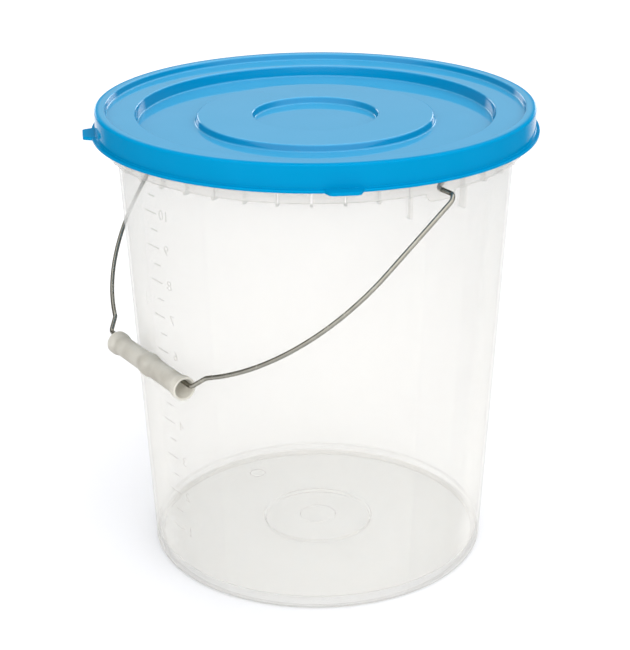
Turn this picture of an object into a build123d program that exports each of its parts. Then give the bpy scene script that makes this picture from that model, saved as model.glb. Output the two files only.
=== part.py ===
from build123d import *
import os
from math import acos, asin, atan2, cos, degrees, hypot, radians, sin, sqrt, tan

# A lidded plastic bucket of about 12 litres: a moulded tub with a rim, a ribbed collar and
# two ears, a press-on lid, a bent wire bail, and a hollow grip that turns on the wire.
# Millimetres, +Z up. The origin is the middle of the base, on the ground. The bail turns
# about an axis along X, and hangs at rest on the -Y side with its grip on the wall.

# Tub: wall, floor and foot
TUB_HEIGHT = 295.3  # ground to the top of the rim
BASE_RADIUS = 109.8  # outside of the wall, carried straight down to the ground
WALL_DRAFT = 2.94  # slope of the wall from upright, degrees
WALL = 1.8
FLOOR = 2.0
FOOT_HEIGHT = 5.0  # ground to the underside of the floor
FOOT_WIDTH = 5.2  # ring that the tub stands on, with its outer rounding
FOOT_ROUND = 2.6
FLOOR_ROUND = 2.5  # inside corner between floor and wall
PAD_RADIUS = 36.0  # raised pad in the middle of the floor
PAD_RISE = 1.0
DIMPLE_RADIUS = 11.8  # shallow round dimple in the pad
DIMPLE_DEPTH = 0.6

# Tub: rim, shoulder and collar
RIM_DEPTH = 10.9  # rim top down to the top of the shoulder
RIM_STEP = 9.3  # outside of the rim beyond the wall at the shoulder
RIM_WALL = 1.9
RIM_BEAD = 0.4  # how far the bead stands out from the rim
RIM_BEAD_HEIGHT = 3.5
SHOULDER = 2.0
COLLAR_WALL = 1.8
COLLAR_BELOW = 1.4  # bail's axis down to the collar's lower edge
EDGE_ROUND = 0.5  # small rounding of the moulded edges

# Tub: ears and ribs
EAR_WIDTH = 20.6
EAR_DROP = 4.9  # ear below the collar's lower edge
EAR_ROUND = 4.0
PIN_CLEARANCE = 0.35  # wire in the ear's hole, on the radius
HOOK_GAP = 0.85  # bent end of the wire to the wall and to the collar
HOOK_ROOM = 1.2  # bent end of the wire to the shoulder above it
RIBS_PER_SIDE = 20  # from one ear round to the other
RIB = 1.4
RIB_DROP = 2.2  # short ribs below the collar's lower edge
EAR_RIB_DROP = 13.6  # the long ribs on each side of an ear

# Lid
LID_WALL = 1.8
LID_SEAT = 0.3  # gap between the rim's top and the lid
LID_CLEARANCE = 0.6  # gap between the rim and the lid's channel, on the radius
LIP_ROOM = 6.15  # skirt's lower edge above the wire in the ear
SKIRT_ROUND = 2.4  # outer edge of the lid's top
LIP_REACH = 2.6  # lip at the bottom of the skirt
LIP_HEIGHT = 1.8
LAND_DROP = 4.1  # lid's top down to the land inside the channel
RECESS_DEPTH = 7.3  # land down to the stacking recess
RECESS_SLOPE = 1.6  # the recess widens by this towards its top
STACK_CLEARANCE = 0.8  # another bucket's base in the recess, on the radius
RING_OUTER = 73.4  # raised ring in the recess
RING_INNER = 39.0
RING_RISE = 4.2
RING_SLOPE = 1.0
LUG_REACH = 5.0  # pull lug beyond the lip
LUG_WIDTH = 24.0
LUG_TIP_WIDTH = 17.0
LUG_THICKNESS = 2.0
LUG_ROUND = 2.0
LUG_ANGLES = (-115.2, -26.7)  # degrees from +X

# Bail wire
WIRE = 2.7
LEG_CLEARANCE = 4.6  # top of a leg beyond the lid's lip
ARC_INSIDE = 2.0  # the arc's radius short of the lid's lip
ARC_DROP = 38.85  # bail's axis to the arc's centre
LEG_BEND = 5.0
KINK_BEND = 4.5
KINK_LEAD = 3.0  # straight wire between the arc and the kink
KINK_RUN = 6.7  # slanting step beside the grip, along the grip
KINK_DROP = 9.3  # slanting step beside the grip, away from the axis
HOOK_BEND = 2.0
HOOK_REACH = 7.3  # bent end behind the ear, from the bail's axis

# Grip
GRIP_LENGTH = 86.8
GRIP_END_RADIUS = 7.4
GRIP_BAND = 3.5  # straight band at each end
GRIP_FLARE = 5.5  # from the band down to the waist
GRIP_WAIST_RADIUS = 6.3
GRIP_BULGE_RADIUS = 7.3  # swelling in the middle
GRIP_BULGE_REACH = 7.8  # swelling's middle to its edge
GRIP_WALL = 1.4
GRIP_PLAY = 0.3  # wire off the bore at the waists, where the grip hangs on it
GRIP_END_PLAY = 8.6  # grip's end to the wire's slanting step, with the grip in the middle
GRIP_SLIDE = 4.8  # grip at rest along its run from the middle, towards +X
GRIP_REST_GAP = 0.4  # grip off the wall at rest


def wall_radius(z):
    """Outside radius of the tub's wall at a height."""
    return BASE_RADIUS + z * tan(radians(WALL_DRAFT))


# Heights and radii that several pieces share
shoulder_top = TUB_HEIGHT - RIM_DEPTH
shoulder_low = shoulder_top - SHOULDER
pivot_z = shoulder_low - HOOK_ROOM - HOOK_REACH
collar_low = pivot_z - COLLAR_BELOW
collar_inside = wall_radius(shoulder_low) + WIRE + 2 * HOOK_GAP
collar_radius = collar_inside + COLLAR_WALL
rim_radius = wall_radius(shoulder_low) + RIM_STEP
rim_inside = rim_radius - RIM_WALL
skirt_inside = rim_radius + RIM_BEAD + LID_CLEARANCE
skirt_radius = skirt_inside + LID_WALL
lip_radius = skirt_radius + LIP_REACH
lid_top = TUB_HEIGHT + LID_SEAT + LID_WALL
skirt_low = pivot_z + WIRE / 2 + LIP_ROOM

# Bail in its own plane: across is along the axis, down is away from it
leg_across = lip_radius + LEG_CLEARANCE
arc_radius = lip_radius - ARC_INSIDE
run_across = GRIP_LENGTH / 2 + GRIP_END_PLAY
kink_across = run_across + KINK_RUN
arc_end_across = kink_across + KINK_LEAD
arc_end_down = ARC_DROP + sqrt(arc_radius**2 - arc_end_across**2)
arc_end_slope = arc_end_across / sqrt(arc_radius**2 - arc_end_across**2)
kink_down = arc_end_down + KINK_LEAD * arc_end_slope
run_down = kink_down + KINK_DROP
grip_offset = GRIP_WAIST_RADIUS - GRIP_WALL - WIRE / 2 - GRIP_PLAY
grip_down = run_down + grip_offset

# Angle of the hanging bail from straight down, where the grip's middle meets the sloping wall
grip_reach = cos(radians(WALL_DRAFT)) * wall_radius(pivot_z) + GRIP_BULGE_RADIUS + GRIP_REST_GAP
hang_angle = degrees(asin(grip_reach / grip_down)) - WALL_DRAFT


def turned(corners):
    """Solid of revolution about Z from corners of (radius, height, rounding)."""
    points = [(r, z) for r, z, _ in corners]
    rounds = [rounding for _, _, rounding in corners]
    section = make_face(FilletPolyline(*points, radius=rounds, close=True))
    return revolve(Plane.XZ * section, Axis.Z)


def hung(piece):
    """Place a piece drawn in the bail's own flat plane at the bail's rest."""
    return Pos(0, 0, pivot_z) * Rot(90 - hang_angle, 0, 0) * piece


def tub_shell():
    """Floor, wall, shoulder, rim, collar and foot in one turned section."""
    floor_top = FOOT_HEIGHT + FLOOR
    pad_top = floor_top + PAD_RISE
    bead_radius = rim_radius + RIM_BEAD
    bead_low = TUB_HEIGHT - RIM_BEAD_HEIGHT
    foot_inside = BASE_RADIUS - FOOT_WIDTH
    return turned([
        (0, pad_top - DIMPLE_DEPTH, 0),
        (DIMPLE_RADIUS, pad_top - DIMPLE_DEPTH, 0),
        (DIMPLE_RADIUS + DIMPLE_DEPTH, pad_top, 0),
        (PAD_RADIUS, pad_top, 0),
        (PAD_RADIUS + PAD_RISE, floor_top, 0),
        (wall_radius(floor_top) - WALL, floor_top, FLOOR_ROUND),
        (wall_radius(shoulder_top) - WALL, shoulder_top, EDGE_ROUND),
        (rim_inside, shoulder_top, EDGE_ROUND),
        (rim_inside, TUB_HEIGHT, EDGE_ROUND),
        (bead_radius, TUB_HEIGHT, EDGE_ROUND),
        (bead_radius, bead_low, 0),
        (rim_radius, bead_low - RIM_BEAD, 0),
        (rim_radius, shoulder_low, EDGE_ROUND),
        (collar_radius, shoulder_low, 0),
        (collar_radius, collar_low, EDGE_ROUND),
        (collar_inside, collar_low, EDGE_ROUND),
        (collar_inside, shoulder_low, 0),
        (wall_radius(shoulder_low), shoulder_low, 0),
        (BASE_RADIUS, 0, FOOT_ROUND),
        (foot_inside, 0, EDGE_ROUND),
        (foot_inside, FOOT_HEIGHT, 0),
        (PAD_RADIUS, FOOT_HEIGHT, 0),
        (PAD_RADIUS - PAD_RISE, FOOT_HEIGHT + PAD_RISE, 0),
        (0, FOOT_HEIGHT + PAD_RISE, 0),
    ])


def rib(drop):
    """Upright web from the wall to the collar, reaching a little below the collar."""
    low = collar_low - drop
    high = shoulder_low + SHOULDER / 2
    outside = collar_radius - COLLAR_WALL / 2
    outline = Polyline(
        (wall_radius(low) - WALL / 2, low),
        (outside - COLLAR_WALL / 2, low),
        (outside, collar_low),
        (outside, high),
        (wall_radius(high) - WALL / 2, high),
        close=True,
    )
    return extrude(Plane.XZ * make_face(outline), RIB / 2, both=True)


def collar_ribs():
    """Ribs from ear to ear on both sides, the two beside an ear longer than the rest."""
    pitch = 180 / (RIBS_PER_SIDE + 1)
    ribs = []
    for first_ear in (0, 180):
        for place in range(1, RIBS_PER_SIDE + 1):
            drop = EAR_RIB_DROP if place in (1, RIBS_PER_SIDE) else RIB_DROP
            ribs.append(Rot(0, 0, first_ear + place * pitch) * rib(drop))
    return ribs


def ear_tongues():
    """Rounded tongues that hang below the collar at the two ears."""
    ear_height = 2 * EAR_DROP
    plate = Plane.YZ * RectangleRounded(EAR_WIDTH, ear_height, min(EAR_ROUND, 0.9 * EAR_DROP))
    both_sides = Pos(0, 0, collar_low) * extrude(plate, 2 * collar_radius, both=True)
    ring = Cylinder(collar_radius, ear_height) - Cylinder(collar_inside, ear_height)
    return Pos(0, 0, collar_low) * ring & both_sides


def make_tub():
    """The tub with its ears, a hole through each for the wire, and its ribs."""
    # The turned section starts halfway between the first two ribs.
    tub = Rot(0, 0, 270 / (RIBS_PER_SIDE + 1)) * tub_shell() + ear_tongues()
    # A hole starts in the middle of the gap behind the collar, so the wall stays whole.
    hole_start = (collar_inside + wall_radius(pivot_z)) / 2
    hole_end = collar_radius + COLLAR_WALL
    hole = Rot(0, 90, 0) * Cylinder(WIRE / 2 + PIN_CLEARANCE, hole_end - hole_start)
    for side in (1, -1):
        tub -= Pos(side * (hole_start + hole_end) / 2, 0, pivot_z) * hole
    return tub + collar_ribs()


def lid_shell():
    """Stacking panel, channel over the rim, skirt and lip in one turned section."""
    land = lid_top - LAND_DROP
    recess = land - RECESS_DEPTH
    ring = recess + RING_RISE
    recess_radius = BASE_RADIUS + STACK_CLEARANCE
    channel = rim_inside - LID_CLEARANCE
    lip_top = skirt_low + LIP_HEIGHT
    under = LID_WALL
    return turned([
        (0, recess, 0),
        (RING_INNER - RING_SLOPE, recess, EDGE_ROUND),
        (RING_INNER, ring, EDGE_ROUND),
        (RING_OUTER, ring, EDGE_ROUND),
        (RING_OUTER + RING_SLOPE, recess, EDGE_ROUND),
        (recess_radius, recess, 2 * EDGE_ROUND),
        (recess_radius + RECESS_SLOPE, land, 2 * EDGE_ROUND),
        (channel - LID_WALL, land, 2 * EDGE_ROUND),
        (channel - LID_WALL + EDGE_ROUND, lid_top, 2 * EDGE_ROUND),
        (skirt_radius, lid_top, SKIRT_ROUND),
        (skirt_radius, lip_top, EDGE_ROUND),
        (lip_radius, lip_top, EDGE_ROUND),
        (lip_radius, skirt_low, EDGE_ROUND),
        (skirt_inside, skirt_low, EDGE_ROUND),
        (skirt_inside, lid_top - under, EDGE_ROUND),
        (channel, lid_top - under, EDGE_ROUND),
        (channel, land - under, EDGE_ROUND),
        (recess_radius + RECESS_SLOPE + under, land - under, EDGE_ROUND),
        (recess_radius + under, recess - under, 2 * EDGE_ROUND),
        (RING_OUTER + RING_SLOPE - under, recess - under, 0),
        (RING_OUTER - under, ring - under, 0),
        (RING_INNER + under, ring - under, 0),
        (RING_INNER - RING_SLOPE + under, recess - under, 0),
        (0, recess - under, 0),
    ])


def pull_lug():
    """Flat lug at the lip, narrower at its tip, pointing along +X."""
    root = skirt_radius - LID_WALL / 2
    tip = lip_radius + LUG_REACH
    outline = FilletPolyline(
        (root, -LUG_WIDTH / 2),
        (tip, -LUG_TIP_WIDTH / 2),
        (tip, LUG_TIP_WIDTH / 2),
        (root, LUG_WIDTH / 2),
        radius=(0, LUG_ROUND, LUG_ROUND, 0),
        close=True,
    )
    return Pos(0, 0, skirt_low) * extrude(make_face(outline), LUG_THICKNESS)


def make_lid():
    """The lid with its pull lugs."""
    lid = lid_shell()
    for angle in LUG_ANGLES:
        lid += Rot(0, 0, angle) * pull_lug()
    return lid


def half_wire():
    """One half of the bail's centre line, from the hook behind the ear to the middle."""
    hook_across = (collar_inside + wall_radius(pivot_z)) / 2
    # The leg is the tangent from the top of the leg to the arc.
    to_leg = hypot(leg_across, ARC_DROP)
    tangent = acos(arc_radius / to_leg) - atan2(ARC_DROP, leg_across)
    tangent_point = (arc_radius * cos(tangent), -ARC_DROP - arc_radius * sin(tangent))
    arc_end = (arc_end_across, -arc_end_down)
    arc_turn = degrees(acos(arc_end_across / arc_radius) - tangent)
    leg = FilletPolyline(
        (hook_across, HOOK_REACH),
        (hook_across, 0),
        (leg_across, 0),
        tangent_point,
        radius=(HOOK_BEND, LEG_BEND),
    )
    arc = CenterArc((0, -ARC_DROP), arc_radius, -degrees(tangent), -arc_turn)
    step = FilletPolyline(
        arc_end,
        (kink_across, -kink_down),
        (run_across, -run_down),
        (0, -run_down),
        radius=KINK_BEND,
    )
    return leg.edges() + arc.edges() + step.edges()


def make_bail():
    """Round wire swept along both halves of its centre line."""
    half = half_wire()
    path = Wire(half + [edge.mirror(Plane.YZ) for edge in half])
    section = Plane(path @ 0, z_dir=path % 0) * Circle(WIRE / 2)
    return hung(sweep(section, path=path))


def double_arc(start, end):
    """Two equal arcs in an S from start to end, level at both ends."""
    across = end[0] - start[0]
    rise = end[1] - start[1]
    middle = (start[0] + across / 2, start[1] + rise / 2)
    first = TangentArc(start, middle, tangent=(across, 0))
    second = TangentArc(end, middle, tangent=(-across, 0))
    return first.edges() + second.edges()


def grip_half_profile(inset):
    """Grip's outline from its middle to one end, moved in by an inset."""
    bulge = GRIP_BULGE_RADIUS - inset
    waist = GRIP_WAIST_RADIUS - inset
    end = GRIP_END_RADIUS - inset
    band_start = GRIP_LENGTH / 2 - GRIP_BAND
    waist_end = band_start - GRIP_FLARE
    swelling = double_arc((0, bulge), (GRIP_BULGE_REACH, waist))
    straight = Line((GRIP_BULGE_REACH, waist), (waist_end, waist))
    flare = double_arc((waist_end, waist), (band_start, end))
    band = Line((band_start, end), (GRIP_LENGTH / 2, end))
    return swelling + straight.edges() + flare + band.edges()


def make_grip():
    """Thin sleeve with flared ends, two straight waists and a swelling in the middle."""
    outside = grip_half_profile(0)
    bore = grip_half_profile(GRIP_WALL)
    end_face = Line((GRIP_LENGTH / 2, GRIP_END_RADIUS), (GRIP_LENGTH / 2, GRIP_END_RADIUS - GRIP_WALL))
    middle_face = Line((0, GRIP_BULGE_RADIUS), (0, GRIP_BULGE_RADIUS - GRIP_WALL))
    half = revolve(make_face(outside + bore + end_face.edges() + middle_face.edges()), Axis.X)
    sleeve = half + mirror(half, about=Plane.YZ)
    return hung(Pos(GRIP_SLIDE, -grip_down, 0) * sleeve)


os.makedirs("parts", exist_ok=True)
for node, make in (("tub", make_tub), ("lid", make_lid), ("bail", make_bail), ("grip", make_grip)):
    export_step(make(), f"parts/{node}.step")
print(f"bail axis height {pivot_z:.2f}, hang angle {hang_angle:.2f} degrees from straight down")
print(f"grip centre {grip_down:.2f} from the axis, lid top {lid_top:.2f}, lip radius {lip_radius:.2f}")
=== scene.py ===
"""Dressed model of a lidded plastic bucket with a hanging wire bail.

The classes hold their sizes in millimetres, and the meshes are in metres.
"""
import logging
import math
from collections.abc import Iterable, Sequence
from dataclasses import dataclass
from enum import Enum

import bmesh
import bpy
from bmesh.types import BMEdge, BMesh, BMVert
from mathutils import Matrix, Vector


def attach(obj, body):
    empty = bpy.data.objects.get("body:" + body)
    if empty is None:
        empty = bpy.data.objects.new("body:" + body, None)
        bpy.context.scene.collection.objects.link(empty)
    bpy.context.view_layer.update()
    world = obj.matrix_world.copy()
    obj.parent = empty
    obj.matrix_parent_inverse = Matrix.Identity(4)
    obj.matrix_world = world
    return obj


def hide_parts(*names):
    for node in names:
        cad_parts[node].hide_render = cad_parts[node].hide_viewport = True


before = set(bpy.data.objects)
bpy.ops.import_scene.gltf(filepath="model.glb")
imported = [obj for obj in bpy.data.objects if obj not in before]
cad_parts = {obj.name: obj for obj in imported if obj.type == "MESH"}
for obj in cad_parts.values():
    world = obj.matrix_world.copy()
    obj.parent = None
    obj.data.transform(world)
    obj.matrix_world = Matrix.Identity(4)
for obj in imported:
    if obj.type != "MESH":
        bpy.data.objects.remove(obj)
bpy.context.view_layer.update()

LOG = logging.getLogger("bucket")
MM = 0.001
LITRE = 1e6
TOUCH = 0.01
MERGE = 0.002
SLIVER = 0.001
UPRIGHT = Vector((0.0, 0.0, 1.0))
PLASTIC_IOR = 1.49
EVEN = (1.0, 1.0, 1.0)


class Body(Enum):
    """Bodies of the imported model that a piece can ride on."""

    TUB = "tub"
    LID = "lid"
    BAIL = "bail"
    GRIP = "grip"


class Slot(Enum):
    """Material slots of the record."""

    NATURAL = "natural_plastic"
    BLUE = "blue_plastic"
    STEEL = "steel_wire"
    PALE = "pale_plastic"


class Join(Enum):
    """Ways to combine two closed shapes."""

    UNITE = "UNION"
    CUT = "DIFFERENCE"


Colour = tuple[float, float, float]
Stretch = tuple[float, float, float]


class Value:
    """A shader socket whose arithmetic adds Math nodes."""

    def __init__(self, tree: "NodeTree", socket: bpy.types.NodeSocket) -> None:
        """Wrap a socket of a tree."""
        self.tree = tree
        self.socket = socket

    def _math(self, operation: str, first: "Value | float", second: "Value | float") -> "Value":
        """Add one Math node."""
        return self.tree.add("ShaderNodeMath", {"operation": operation}, {0: first, 1: second})

    def __add__(self, other: "Value | float") -> "Value":
        """Sum of two values."""
        return self._math("ADD", self, other)

    def __radd__(self, other: float) -> "Value":
        """Sum with a number first."""
        return self._math("ADD", other, self)

    def __sub__(self, other: "Value | float") -> "Value":
        """Difference of two values."""
        return self._math("SUBTRACT", self, other)

    def __rsub__(self, other: float) -> "Value":
        """Difference with a number first."""
        return self._math("SUBTRACT", other, self)

    def __mul__(self, other: "Value | float") -> "Value":
        """Product of two values."""
        return self._math("MULTIPLY", self, other)

    def __rmul__(self, other: float) -> "Value":
        """Product with a number first."""
        return self._math("MULTIPLY", other, self)


class NodeTree:
    """Shader node tree of a material or of the sky."""

    def __init__(self, owner: bpy.types.ID, output: str) -> None:
        """Start an empty tree.

        Args:
            owner: The material or sky that holds it.
            output: Blender's name of its output node's type.
        """
        owner.use_nodes = True
        self.tree = owner.node_tree
        self.tree.nodes.clear()
        self.output = self.tree.nodes.new(output)

    def add(
        self,
        kind: str,
        settings: dict[str, object] | None = None,
        inputs: dict[str | int, object] | None = None,
        output: str | int = 0,
    ) -> Value:
        """Add a node.

        Args:
            kind: Blender's name of the node's type.
            settings: Values of the node itself.
            inputs: Values or links of its sockets, by name or place.
            output: Which of its outputs to return.

        Returns:
            The chosen output.
        """
        node = self.tree.nodes.new(kind)
        for key, setting in (settings or {}).items():
            setattr(node, key, setting)
        for key, value in (inputs or {}).items():
            if isinstance(value, Value):
                self.tree.links.new(value.socket, node.inputs[key])
            else:
                node.inputs[key].default_value = value
        return Value(self, node.outputs[output])

    def step(self, value: Value, low: float, high: float) -> Value:
        """Smooth step of a value from 0 at one bound to 1 at the other."""
        bounds = {"Value": value, "From Min": low, "From Max": high}
        return self.add("ShaderNodeMapRange", {"interpolation_type": "SMOOTHSTEP"}, bounds)

    def show(self, shader: Value) -> None:
        """Link a shader to the output."""
        self.tree.links.new(shader.socket, self.output.inputs["Surface"])


class FinishTree(NodeTree):
    """Node tree of one material."""

    def __init__(self, name: str) -> None:
        """Start an empty material."""
        self.material = bpy.data.materials.new(name)
        super().__init__(self.material, "ShaderNodeOutputMaterial")

    def place(self, stretch: Stretch = EVEN) -> Value:
        """Object coordinates in metres, stretched along the axes."""
        inputs = {"Vector": self.add("ShaderNodeTexCoord", output="Object"), "Scale": stretch}
        return self.add("ShaderNodeMapping", {"vector_type": "POINT"}, inputs)

    def noise(self, pitch: float, detail: float, stretch: Stretch = EVEN) -> Value:
        """Noise between 0 and 1.

        Args:
            pitch: Size of its blotches, in millimetres.
            detail: How many finer layers it has.
            stretch: Scale along the axes.

        Returns:
            The noise's value.
        """
        inputs = {"Vector": self.place(stretch), "Scale": 1.0 / (pitch * MM), "Detail": detail}
        return self.add("ShaderNodeTexNoise", {}, inputs, "Fac")

    def blend(self, factor: Value, first: "Colour | Value", second: "Colour | Value") -> Value:
        """Mix two colours.

        Args:
            factor: Share of the second colour.
            first: The colour at 0.
            second: The colour at 1.

        Returns:
            The mixed colour.
        """
        first, second = (c if isinstance(c, Value) else (*c, 1.0) for c in (first, second))
        inputs = {0: factor, 6: first, 7: second}
        return self.add("ShaderNodeMix", {"data_type": "RGBA"}, inputs, 2)

    def bump(self, height: Value, depth: float) -> Value:
        """Normal that a relief of that depth in millimetres gives."""
        inputs = {"Height": height, "Strength": 1.0, "Distance": depth * MM}
        return self.add("ShaderNodeBump", {}, inputs, "Normal")

    def rise(self) -> Value:
        """Upward part of the surface's direction."""
        normal = self.add("ShaderNodeNewGeometry", output="Normal")
        return self.add("ShaderNodeSeparateXYZ", {}, {0: normal}, "Z")

    def mix(self, factor: Value | float, first: Value, second: Value) -> Value:
        """Shader between two others."""
        return self.add("ShaderNodeMixShader", {}, {0: factor, 1: first, 2: second})

    def finish(self, shader: Value) -> bpy.types.Material:
        """Show a shader and return the material."""
        self.show(shader)
        return self.material


@dataclass(frozen=True)
class NaturalPlastic:
    """Uncoloured plastic: a tinted see-through body under a thin milky veil, with painted shade: a grey layer
    at its roundings, on faces that turn away and on roundings that look down, standing in for the darkening
    that refraction and glancing reflection give there.

    Attributes:
        name: Name of the material.
        clear: Colour of the veil where it is clearest.
        milky: Colour of the veil where it is milkiest.
        low_tint: Tint of what shows through low on the tub.
        high_tint: Darker tint of what shows through high on the tub, painted shade under the lid.
        tint_from: Height at which the tint starts to change, in millimetres.
        tint_to: Height at which it has changed.
        grey: Colour of the painted shade on the roundings and edges.
        veil: Share of the veil on a face seen squarely.
        cloud: How much more the veil holds in its milkiest clouds.
        slant: How much more it holds on a face seen aslant.
        slant_from: Slant at which that starts.
        slant_to: Slant at which it is full.
        thin: How much less it holds where the light leaves the plastic.
        plain: Share of the painted shade grey on a plain face.
        edge: Share of painted shade grey that a face gets as it turns away.
        line: Share of painted shade grey on a rounding.
        under: Share of painted shade grey that a rounding gets where it looks down.
    """

    name: str = "natural_plastic"
    clear: Colour = (0.96, 0.95, 0.92)
    milky: Colour = (0.91, 0.90, 0.865)
    low_tint: Colour = (0.985, 0.981, 0.973)
    high_tint: Colour = (0.930, 0.927, 0.919)
    tint_from: float = 40.0
    tint_to: float = 230.0
    grey: Colour = (0.45, 0.435, 0.40)
    veil: float = 0.12
    cloud: float = 0.04
    slant: float = 0.13
    slant_from: float = 0.53
    slant_to: float = 0.73
    thin: float = 0.6
    plain: float = 0.01
    edge: float = 0.15
    line: float = 0.22
    under: float = 0.3
    cloud_pitch: float = 38.0
    cloud_stretch: Stretch = (1.0, 1.0, 0.35)
    ripple_pitch: float = 5.5
    ripple_stretch: Stretch = (1.0, 1.0, 0.4)
    ripple_depth: float = 0.02
    veil_rough: float = 0.22
    rim_rough: float = 0.28
    rough_spread: float = 0.08
    rim_shine: float = 0.2

    def material(self) -> bpy.types.Material:
        """Build the material.

        Returns:
            The material.
        """
        tree = FinishTree(self.name)
        cloud = tree.noise(self.cloud_pitch, detail=2.0, stretch=self.cloud_stretch)
        ripple = tree.noise(self.ripple_pitch, detail=2.0, stretch=self.ripple_stretch)
        relief = tree.bump(ripple, self.ripple_depth)
        facing = tree.add("ShaderNodeLayerWeight", {}, {"Blend": 0.5}, "Facing")
        along = facing * facing
        face = tree.add("ShaderNodeBsdfPrincipled", {}, {
            "Base Color": tree.blend(cloud, self.clear, self.milky),
            "Roughness": self.veil_rough + self.rough_spread * cloud,
            "IOR": PLASTIC_IOR,
            "Normal": relief,
        })
        # Painted shade: an opaque grey layer that roundings and turned-away faces get in place of real
        # refraction darkening.
        rim = tree.add("ShaderNodeBsdfPrincipled", {}, {
            "Base Color": (*self.grey, 1.0),
            "Roughness": self.rim_rough + self.rough_spread * cloud,
            "IOR": PLASTIC_IOR,
            "Specular IOR Level": self.rim_shine,
            "Normal": relief,
        })
        leaving = tree.add("ShaderNodeNewGeometry", output="Backfacing")
        aslant = tree.step(facing, self.slant_from, self.slant_to)
        veil = self.veil + self.cloud * cloud + self.slant * aslant
        veil = veil * (1.0 - self.thin * leaving * (1.0 - aslant))
        rise = tree.rise()
        level = rise * rise
        rounded = 4.0 * level * (1.0 - level)
        down = tree.add("ShaderNodeClamp", {}, {"Value": -1.0 * rise})
        # Painted shade: the grey share rises on faces turned away, on roundings, and more on roundings that
        # look down.
        share = self.plain + self.edge * along * along + (self.line + self.under * down) * rounded
        return tree.finish(tree.mix(share, tree.mix(veil, self._open_way(tree), face), rim))

    def _open_way(self, tree: FinishTree) -> Value:
        """Let light straight through, tinted darker high up as painted shade under the lid.

        Args:
            tree: The material's tree.

        Returns:
            The see-through shader.
        """
        height = tree.add("ShaderNodeSeparateXYZ", {}, {"Vector": tree.place()}, "Z")
        # Painted shade: the tint turns darker towards the top, where the lid shades the wall.
        low, high = (
            tree.add("ShaderNodeBsdfTransparent", {}, {"Color": (*tint, 1.0)})
            for tint in (self.low_tint, self.high_tint)
        )
        return tree.mix(tree.step(height, self.tint_from * MM, self.tint_to * MM), low, high)


@dataclass(frozen=True)
class BluePlastic:
    """Sky blue moulding, glossy on its panel and duller on the skirt, with the panel's level faces painted
    paler as a painted reflection of the bright surroundings.
    """

    deep: Colour = (0.0, 0.194, 0.392)
    bright: Colour = (0.0, 0.208, 0.416)
    level_deep: Colour = (0.035, 0.268, 0.468)
    level_bright: Colour = (0.045, 0.283, 0.495)
    panel_reach: float = 132.4
    skirt_reach: float = 135.2
    cloud_pitch: float = 30.0
    grain_pitch: float = 0.9
    grain_depth: float = 0.004
    rough: float = 0.20
    rough_spread: float = 0.08
    skirt_gloss: float = 0.03
    gloss_spread: float = 0.04
    gloss: float = 0.65
    level_gloss: float = 0.22
    coat_rough: float = 0.07
    glance: float = 0.9
    glance_from: float = 0.68
    glance_to: float = 0.92

    def material(self) -> bpy.types.Material:
        """Build the material.

        Returns:
            The material.
        """
        tree = FinishTree("blue_plastic")
        cloud = tree.noise(self.cloud_pitch, detail=3.0)
        grain = tree.noise(self.grain_pitch, detail=2.0)
        rise = tree.rise()
        level = rise * rise
        across = tree.place((1.0, 1.0, 0.0))
        from_axis = tree.add("ShaderNodeVectorMath", {"operation": "LENGTH"}, {0: across}, "Value")
        panel = tree.step(from_axis, self.skirt_reach * MM, self.panel_reach * MM)
        facing = tree.add("ShaderNodeLayerWeight", {}, {"Blend": 0.5}, "Facing")
        turned = (1.0 - panel) * tree.step(facing, self.glance_from, self.glance_to)
        upright = tree.blend(cloud, self.deep, self.bright)
        # Painted reflection: the panel's level faces get a paler blue that stands in for the bright
        # surroundings they mirror at a glancing view.
        flat = tree.blend(cloud, self.level_deep, self.level_bright)
        gloss = self.glance * turned + panel * (self.gloss + self.level_gloss * level)
        shader = tree.add("ShaderNodeBsdfPrincipled", {}, {
            "Base Color": tree.blend(panel * level, upright, flat),
            "Roughness": self.rough + self.rough_spread * cloud,
            "Specular IOR Level": 0.0,
            "Coat Weight": self.skirt_gloss + self.gloss_spread * cloud + gloss,
            "Coat Roughness": self.coat_rough,
            "Coat IOR": PLASTIC_IOR,
            "Normal": tree.bump(grain, self.grain_depth),
        })
        return tree.finish(shader)


@dataclass(frozen=True)
class SteelWire:
    """Drawn galvanised wire with fine scratches and dull patches."""

    bright: Colour = (0.37, 0.36, 0.315)
    dull: Colour = (0.24, 0.23, 0.195)
    glancing: Colour = (0.12, 0.11, 0.09)
    patch_pitch: float = 6.0
    scratch_pitch: float = 0.5
    scratch_depth: float = 0.01
    rough: float = 0.20
    rough_spread: float = 0.12

    def material(self) -> bpy.types.Material:
        """Build the material.

        Returns:
            The material.
        """
        tree = FinishTree("steel_wire")
        patches = tree.noise(self.patch_pitch, detail=4.0)
        scratches = tree.noise(self.scratch_pitch, detail=3.0)
        shader = tree.add("ShaderNodeBsdfPrincipled", {}, {
            "Base Color": tree.blend(patches, self.dull, self.bright),
            "Metallic": 1.0,
            "Specular Tint": (*self.glancing, 1.0),
            "Roughness": self.rough + self.rough_spread * patches,
            "Normal": tree.bump(scratches, self.scratch_depth),
        })
        return tree.finish(shader)


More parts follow.
